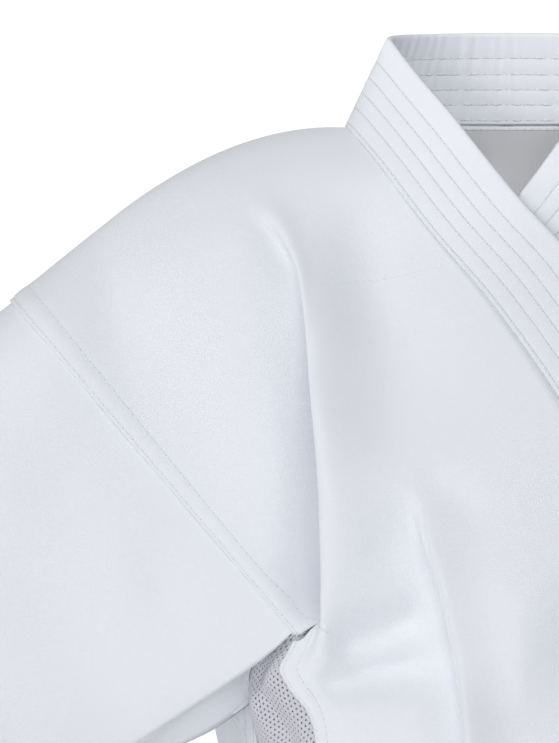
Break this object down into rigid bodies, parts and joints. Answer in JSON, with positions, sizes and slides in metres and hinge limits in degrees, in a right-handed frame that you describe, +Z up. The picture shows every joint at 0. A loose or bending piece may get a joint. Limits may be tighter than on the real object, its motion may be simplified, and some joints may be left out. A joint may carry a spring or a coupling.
{
  "type": "karate gi jacket",
  "caption": "Wrapped karate gi jacket worn open at the neck, with wide straight sleeves, a stitched lapel band, mesh side insets, hem vents and side ties.",
  "frame": {"origin": "midway between the two points where the shoulders meet the collar seam, where the wearer's shoulders hold the jacket", "axes": "+X to the viewer's right, the wearer's left; the jacket faces -Y; +Z up"},
  "size_m": [1.1684, 0.2687, 0.8036],
  "materials": {
    "cotton": "matt plain weave, faintly blue white",
    "mesh": "knitted net with even round holes",
    "band": "several layers of the same weave, stitched in rows",
    "label": "smooth woven satin, bare"
  },
  "bodies": {
    "root": {"body_right": "cotton", "body_left": "cotton", "sleeve_right": "cotton", "sleeve_left": "cotton", "mesh_right": "mesh", "mesh_left": "mesh", "collar_right": "band", "collar_left": "band", "size_label": "label", "tie_front": "band", "tie_side": "band", "tie_knot": "band", "tie_tail_a": "band", "tie_tail_b": "band"}
  },
  "joints": []
}
